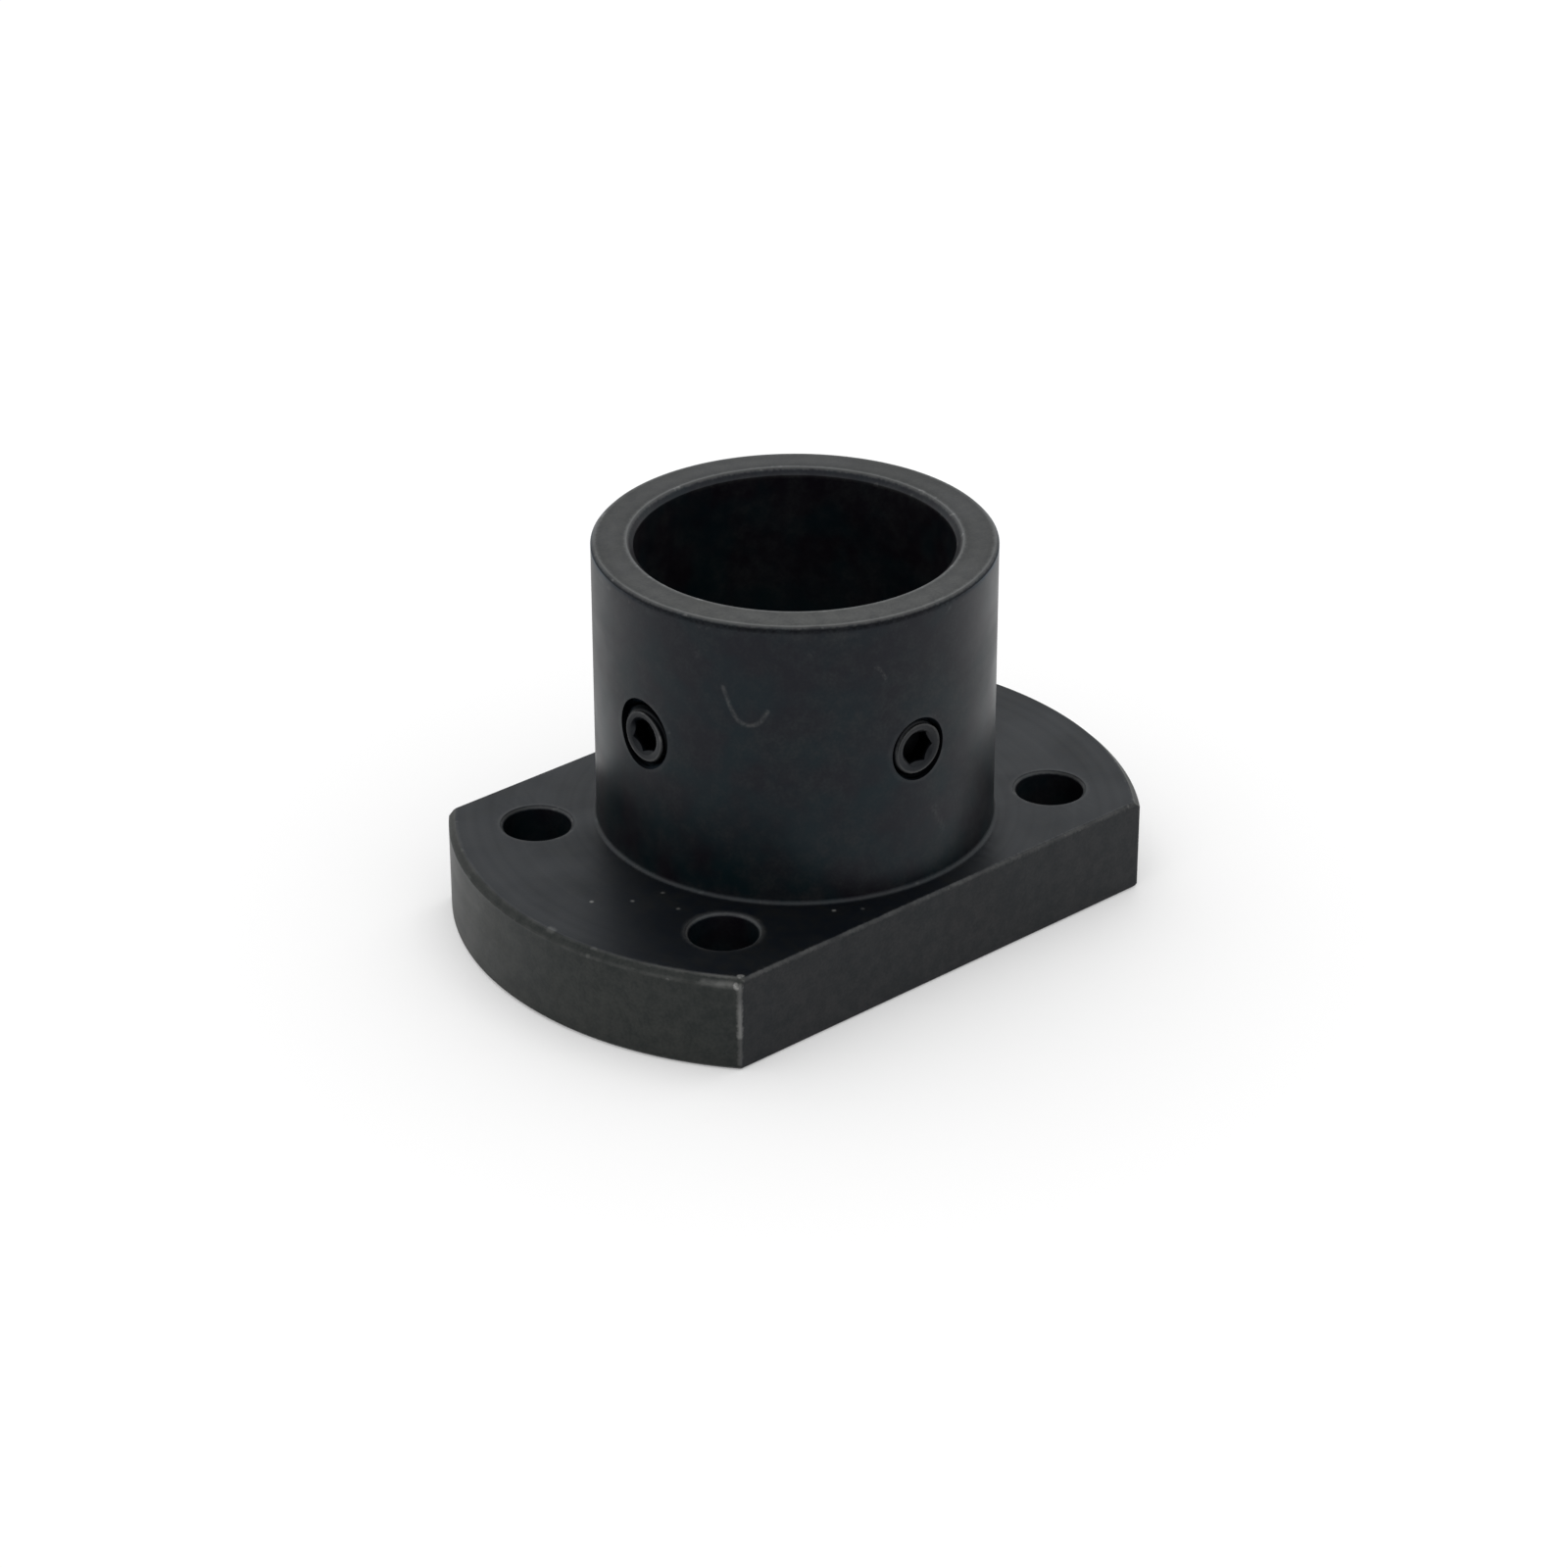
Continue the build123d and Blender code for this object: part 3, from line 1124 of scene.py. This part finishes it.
# %% [markdown]
# ## Black oxide
# The oxide is almost a black glass: it has hardly any colour of its own, and what is seen of it is
# a weak, bluish reflection that grows towards grazing angles. A plain dark grey would look like
# rubber. So the base colour here is nearly nothing, and the look comes from a low reflectance and a
# satin roughness. Each face has two colours, for the full skin and for the thin one, and the mottle
# mixes them. The sides of the flange took the oxide worse: they are greyer and blotchy.

# %% Colours of the oxide
WALL_COOL = (0.0006, 0.0056, 0.0076, 1)
WALL_WARM = (0.0036, 0.0020, 0.0040, 1)
WALL_THIN = (0.0115, 0.0122, 0.0128, 1)
FLANGE_OXIDE = (0.0012, 0.0022, 0.0044, 1)
FLANGE_THIN = (0.0058, 0.0056, 0.0050, 1)
RING_OXIDE = (0.0002, 0.0002, 0.0002, 1)
RING_THIN = (0.0190, 0.0190, 0.0160, 1)
FLAT_OXIDE = (0.0012, 0.0017, 0.0018, 1)
FLAT_THIN = (0.0166, 0.0150, 0.0148, 1)
ROUND_OXIDE = (0.0080, 0.0092, 0.0068, 1)
ROUND_THIN = (0.0285, 0.0285, 0.0245, 1)
POLISH = (0.055, 0.055, 0.05, 1)
POLISH_FROM = (-0.6, -0.8)  # the side of the ring that hands have polished most
POLISH_FADE = (0.0, 1.2)  # in sleeve radii towards that side
POLISH_SHARE = (0.14, 0.82)  # on the full skin and on the thin one
TONE_SHARES = {"Clouds": 0.3, "Blotches": 0.4, "Grain": 0.3}
RISING_WARMTH = 0.4  # the wall is this much warmer at its top than at the screws


def oxide(tree, here, tones):
    """Colour of the black skin, before any wear."""
    shares = [product(tree, tones[field], share) for field, share in TONE_SHARES.items()]
    tone = chain(tree, "ADD", shares)
    thin = product(tree, tone, tone)
    rise = ramp(tree, here["z"], screw_z, height)
    warmth = calc(tree, "MULTIPLY_ADD", rise, RISING_WARMTH, tones["Tint"])
    wall = mix_colour(tree, warmth, WALL_COOL, WALL_WARM)
    wall = mix_colour(tree, thin, wall, WALL_THIN)
    flat = mix_colour(tree, tone, FLAT_OXIDE, FLAT_THIN)
    round_end = mix_colour(tree, tone, ROUND_OXIDE, ROUND_THIN)
    flange = mix_colour(tree, thin, FLANGE_OXIDE, FLANGE_THIN)
    ring = mix_colour(tree, tone, RING_OXIDE, RING_THIN)

    towards = (*(axis / sleeve_r for axis in POLISH_FROM), 0)
    polished = ramp(tree, vector_calc(tree, "DOT_PRODUCT", here["place"], towards), *POLISH_FADE)
    polished = product(tree, polished, mix(tree, tone, *POLISH_SHARE))
    ring = mix_colour(tree, polished, ring, POLISH)
    colour = mix_colour(tree, here["flat"], wall, flat)
    colour = mix_colour(tree, here["round_end"], colour, round_end)
    top = mix_colour(tree, here["up_sleeve"], flange, ring)
    return mix_colour(tree, here["level"], colour, top)


print("the oxide's tone is mixed from", ", ".join(TONE_SHARES))

# %% [markdown]
# ## Pale, bare and black
# Two kinds of mark change the oxide, and beside them is painted shade. Dust and light scratches are
# pale and matt. Bare steel at the edges is a metal, and where the skin is only thinned it is a
# little of one. The painted shade is black where no light would come back: in a tapped hole's
# thread, and in a painted shadow line under the rim, which keeps the bright ring apart from the
# wall.

# %% Masks of the marks and of the painted shade
HOOK_PALE = (0.05, 0.13)  # where the noise breaks a mark, and where it doesn't
SCUFF_PALE = 0.08
SMUDGE_SHARE = 0.5  # of a scuff's paleness
SPECK_SHARE = (0.6, 1.0)
BRUISE_BARE = (0.35, 0.8)
RUBBED_BARE = (0.1, 0.26)
# A painted shadow: a thin black line round the wall just under the rim.
UNDER_RIM = 0.3 * MM  # below the sleeve's top
UNDER_RIM_SHADOW_STRENGTH = (0.3, 0.7)


def pale_marks(tree, here):
    """The hooked scratch, the scuffs, the smears and smudges, and the specks."""
    flat_out, broken = here["flat_out"], here["broken"]
    hook = mark(tree, "hook", nearest_hook(tree, flat_out))
    hook = product(tree, hook, mix(tree, broken, *HOOK_PALE))
    scuffs = mark(tree, "scuff", nearest_on_sleeve(tree, flat_out, SCUFFS))
    smears = mark(tree, "smear", nearest_on_sleeve(tree, flat_out, SMEARS))
    smudges = [vector_calc(tree, "DISTANCE", flat_out, laid_flat(*spot)) for spot in SMUDGES]
    smudges = mark(tree, "smudge", lowest(tree, *smudges))
    soft = product(tree, highest(tree, smudges, smears), SMUDGE_SHARE)
    scuffs = product(tree, highest(tree, scuffs, soft), broken, SCUFF_PALE)
    specks = []
    for x, y, pale in SPECKS:
        away = vector_calc(tree, "DISTANCE", here["place"], (x * MM, y * MM, flange_top))
        specks.append(product(tree, mark(tree, "speck", away), pale))
    specks = product(tree, highest(tree, *specks), mix(tree, broken, *SPECK_SHARE))
    return highest(tree, product(tree, highest(tree, hook, scuffs), here["outside"]), specks)


def bare_steel(tree, here, tones):
    """The worn edges, the bruised corner and the rubbed skin beside it."""
    bruises = mark(tree, "bruise", nearest_line(tree, here["place"], in_metres(BRUISES)))
    bruises = product(tree, bruises, mix(tree, here["broken"], *BRUISE_BARE))
    rubbed = mark(tree, "rubbed", nearest_line(tree, here["place"], in_metres(RUBBED)))
    rubbed = product(tree, rubbed, mix(tree, tones["Blotches"], *RUBBED_BARE))
    return highest(tree, worn_edges(tree, here), bruises, rubbed)


def painted_shade(tree, here):
    """Painted shade: black in the tapped holes, and a painted shadow line under the rim."""
    away = vector_calc(tree, "DISTANCE", here["turned"], (sleeve_r, 0, height - UNDER_RIM))
    line = mark(tree, "under the rim", away)
    line = product(tree, line, mix(tree, here["broken"], *UNDER_RIM_SHADOW_STRENGTH))
    return highest(tree, here["tapped"], line)


print(len(MARK_WIDTHS), "kinds of mark")

# %% [markdown]
# ## Roughness and tool marks
# The wall of the sleeve was turned finest, so its marks are the faintest. The flange's top is
# duller than the ring on top of the sleeve, which hands polish. The marks run round the bore on
# turned faces, and straight and nearly upright on the flats.

# %% Roughness and bump of the body
TURNED_PITCH = 0.11 * MM
MILLED_PITCH = 0.3 * MM
MILLED_SLANT = 0.12
WALL_ROUGHNESS = 0.4
FLANGE_ROUGHNESS = 0.45
RING_ROUGHNESS = 0.38
CLOUD_CHANGE = 0.08  # how much the clouds change the roughness
BAND_CHANGE = (0.1, 0.03)  # the same for the tool's slow bands, elsewhere and on the wall
COARSENESS = (0.6, 0.25)  # of the bump, elsewhere and on the wall
GRAIN_HEIGHT = 0.5
BODY_BUMP = 0.003 * MM


def body_marks(tree, here):
    """Tool marks that follow each face's own direction."""
    milled = calc(tree, "MULTIPLY_ADD", here["z"], MILLED_SLANT, here["x"])
    across = mix(tree, here["level"], here["z"], here["radius"])
    across = mix(tree, here["flat"], across, milled)
    pitch = mix(tree, here["flat"], TURNED_PITCH, MILLED_PITCH)
    return use(tree, tool_marks, Across=across, Pitch=pitch, Vector=here["place"])


def body_roughness(tree, here, tones, marks):
    top = mix(tree, here["up_sleeve"], FLANGE_ROUGHNESS, RING_ROUGHNESS)
    even = mix(tree, here["wall"], top, WALL_ROUGHNESS)
    bands = calc(tree, "SUBTRACT", marks["Shade"], 0.5)
    bands = product(tree, bands, mix(tree, here["wall"], *BAND_CHANGE))
    clouds = calc(tree, "SUBTRACT", tones["Clouds"], 0.5)
    return calc(tree, "MULTIPLY_ADD", clouds, CLOUD_CHANGE, calc(tree, "ADD", bands, even))


def body_bump(tree, here, tones, marks):
    fine = calc(tree, "MULTIPLY_ADD", tones["Grain"], GRAIN_HEIGHT, marks["Height"])
    fine = product(tree, mix(tree, here["wall"], *COARSENESS), fine)
    return put(tree, "Bump", {"Strength": 1.0, "Distance": BODY_BUMP, "Height": fine}).outputs[0]


print(f"tool marks {TURNED_PITCH / MM} mm apart, and {MILLED_PITCH / MM} mm on the flats")

# %% [markdown]
# ## Material of the body
# Everything meets here. Bare steel and the painted shade both count as metal, because a metal
# reflects only its own colour: steel's is pale, and the painted shade's is black. The reflectance
# of the oxide is half of an ordinary paint's, and a little blue.

# %% Material of the body
# Painted shade: the black painted into the tapped holes, the line under the rim and the screws'
# sockets.
PAINTED_SHADE_BLACK = (0.001, 0.0012, 0.0016, 1)
BARE_STEEL = (0.36, 0.36, 0.35, 1)
DUST = (0.30, 0.30, 0.29, 1)
BODY_REFLECTANCE = 0.235
BODY_TINT = (0.78, 0.89, 1.0, 1)


def body_finish():
    material, output = new_material("blackened_steel")
    tree = material.node_tree
    here = places(tree)
    tones = use(tree, mottle, Vector=here["place"])
    marks = body_marks(tree, here)
    # painted shade: black in the tapped holes and a painted shadow line under the rim
    painted_shade_mask = painted_shade(tree, here)
    bare = bare_steel(tree, here, tones)
    colour = mix_colour(tree, pale_marks(tree, here), oxide(tree, here, tones), DUST)
    colour = mix_colour(tree, painted_shade_mask, colour, PAINTED_SHADE_BLACK)
    sockets = {
        "Base Color": mix_colour(tree, bare, colour, BARE_STEEL),
        "Roughness": body_roughness(tree, here, tones, marks),
        "Metallic": highest(tree, bare, painted_shade_mask),
        "Normal": body_bump(tree, here, tones, marks),
        "Specular IOR Level": BODY_REFLECTANCE,
        "Specular Tint": BODY_TINT,
    }
    shader = put(tree, "BsdfPrincipled", sockets)
    tree.links.new(shader.outputs[0], output.inputs["Surface"])
    return material


body.data.materials.clear()
body.data.materials.append(body_finish())
print("finished the body")

# %% [markdown]
# ## Screw steel
# The screws are hardened, and their black is a little deeper and glossier. Each one's face was
# turned, so its marks run round its own axis. A material can't know that axis, so every vertex is
# given its distance from it and its depth below the face, as two named numbers. They also say where
# the painted shade begins: black down in the socket, and out on the rounded rim that faces the
# thread.

# %% Material of the screws
SCREW_OXIDE = (0.002, 0.003, 0.005, 1)
SCREW_THIN = (0.006, 0.006, 0.007, 1)
SCREW_REFLECTANCE = 0.22
SCREW_TINT = (0.9, 0.95, 1.0, 1)
SCREW_ROUGHNESS = (0.28, 0.4)
SCREW_BUMP = 0.004 * MM
FACED_PITCH = 0.07 * MM
SCREW_EDGE = {"Width": 0.2 * MM, "Bareness": 0.7}
SCREW_EDGE_PALE = 0.12
# Painted shade, black in the socket below the face:
SOCKET_SHADE_DEPTHS = (0.25 * MM, 0.6 * MM)  # below the face, where the dark starts and is whole
SOCKET_SHADE_STRENGTH = 0.85


def mark_distances(piece, name):
    """Gives each vertex its distance from the screw's axis and its depth below the face."""
    outward, _ = screw_frame(screws[name]["joint"])
    points = np.array([vertex.co for vertex in piece.data.vertices])
    reach = points @ np.array(outward)
    aside = points - np.outer(reach, outward) - np.array([0, 0, screw_z])
    measures = {"from_axis": np.linalg.norm(aside, axis=1), "below_face": reach.max() - reach}
    for label, values in measures.items():
        attribute = piece.data.attributes.new(label, "FLOAT", "POINT")
        attribute.data.foreach_set("value", values.astype(np.float32))


def screw_finish():
    material, output = new_material("screw_steel")
    tree = material.node_tree
    place = put(tree, "TexCoord").outputs["Object"]
    from_axis = put(tree, "Attribute", attribute_name="from_axis").outputs["Fac"]
    below_face = put(tree, "Attribute", attribute_name="below_face").outputs["Fac"]
    marks = use(tree, tool_marks, Across=from_axis, Pitch=FACED_PITCH, Vector=place)
    tones = use(tree, mottle, Vector=place)

    rim_r = screw_r - FACE_BEVEL
    measured = join(tree, from_axis, 0.0, below_face)
    distance = vector_calc(tree, "DISTANCE", measured, (rim_r, 0, 0))
    noises = use(tree, wear_noise, Vector=place)["Noises"]
    worn = use(tree, edge_wear, Distance=distance, Noises=noises, **SCREW_EDGE)["Mask"]
    worn = product(tree, worn, SCREW_EDGE_PALE)
    socket_shade = product(tree, ramp(tree, below_face, *SOCKET_SHADE_DEPTHS), SOCKET_SHADE_STRENGTH)
    # painted shade: black down in the socket and on the rim that faces the thread
    painted_socket_shade = highest(tree, socket_shade, ramp(tree, from_axis, rim_r, rim_r + FACE_BEVEL / 2))
    colour = mix_colour(tree, tones["Clouds"], SCREW_OXIDE, SCREW_THIN)
    colour = mix_colour(tree, painted_socket_shade, colour, PAINTED_SHADE_BLACK)
    bump = put(tree, "Bump", {"Strength": 1.0, "Distance": SCREW_BUMP, "Height": marks["Height"]})
    sockets = {
        "Base Color": mix_colour(tree, worn, colour, BARE_STEEL),
        "Roughness": mix(tree, marks["Shade"], *SCREW_ROUGHNESS),
        "Metallic": highest(tree, painted_socket_shade, worn),
        "Normal": bump.outputs[0],
        "Specular IOR Level": SCREW_REFLECTANCE,
        "Specular Tint": SCREW_TINT,
    }
    shader = put(tree, "BsdfPrincipled", sockets)
    tree.links.new(shader.outputs[0], output.inputs["Surface"])
    return material


screw_material = screw_finish()
for name, screw in screw_objects.items():
    mark_distances(screw, name)
    screw.data.materials.append(screw_material)
print("finished the screws")

# %% [markdown]
# ## Back to the frame
# Each piece rides on the body that carries it, so a screw that turns out takes its finish along.

# %% Hand the pieces to the frame
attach(body, "support")
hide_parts("support_body")
for name, screw in screw_objects.items():
    child = joints[screws[name]["joint"]]["child"]
    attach(screw, child)
    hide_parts(name)
